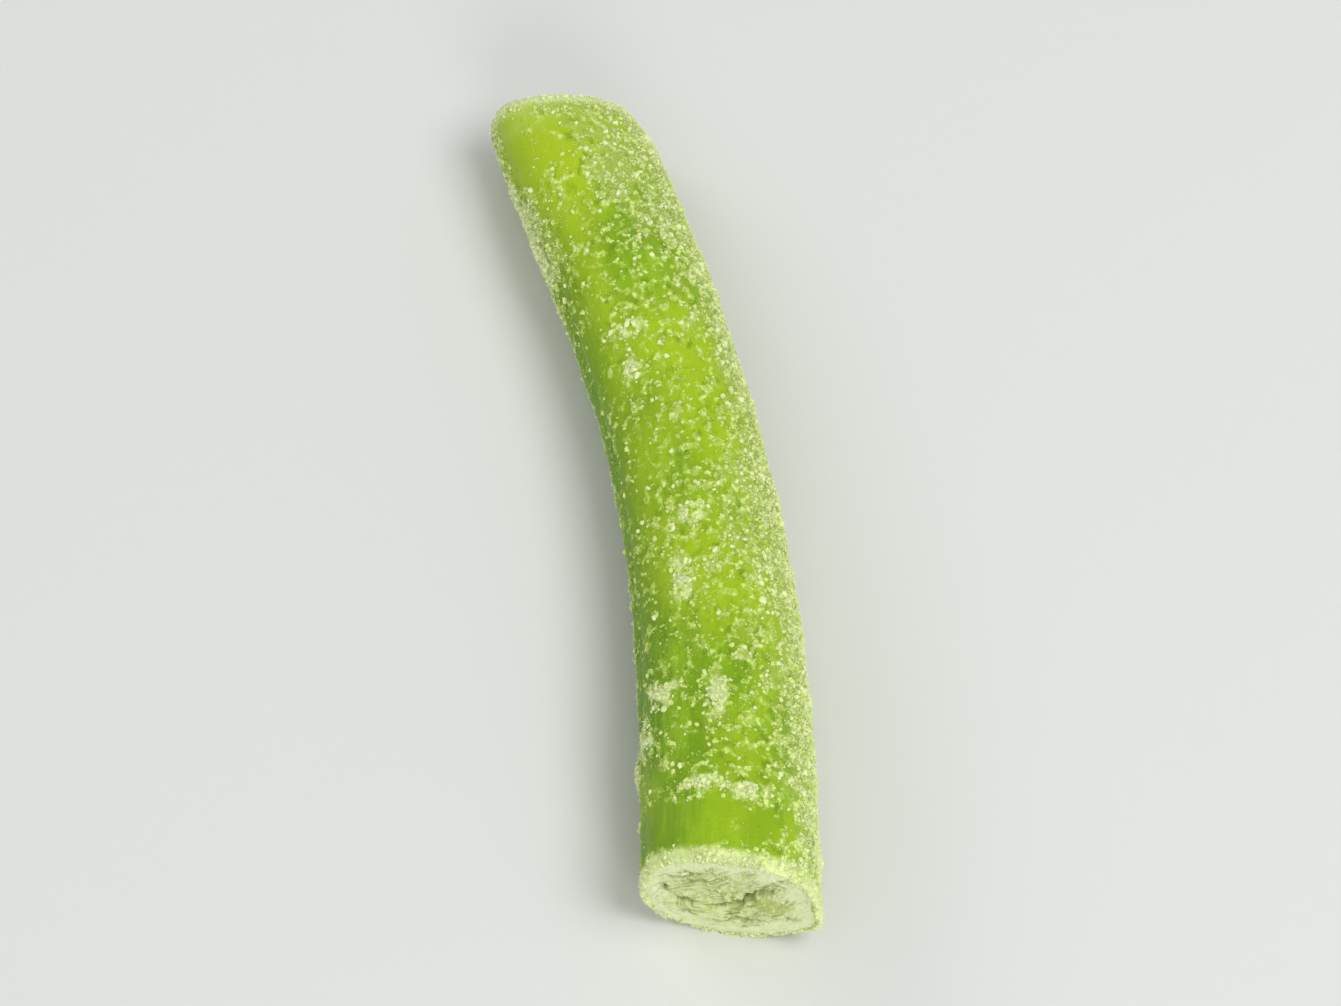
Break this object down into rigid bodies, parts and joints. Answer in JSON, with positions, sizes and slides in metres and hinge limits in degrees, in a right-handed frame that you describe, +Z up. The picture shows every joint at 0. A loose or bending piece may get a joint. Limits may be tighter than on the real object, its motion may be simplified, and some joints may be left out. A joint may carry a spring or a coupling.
{
  "type": "cut green bean",
  "caption": "Cut length of frozen green bean pod: a gently bent, slightly tapered green stick with a straight cut at each end and ice crystals on its skin",
  "frame": {"origin": "On the resting surface, under the middle of the piece's bounding box", "axes": "+X along the chord of the bend towards the wider cut, +Y towards the outer side of the bend, +Z up from the resting surface"},
  "size_m": [0.0439, 0.01, 0.0077],
  "materials": {
    "bean_pod": "satin"
  },
  "bodies": {
    "root": {"bean_pod": "bean_pod"}
  },
  "joints": []
}
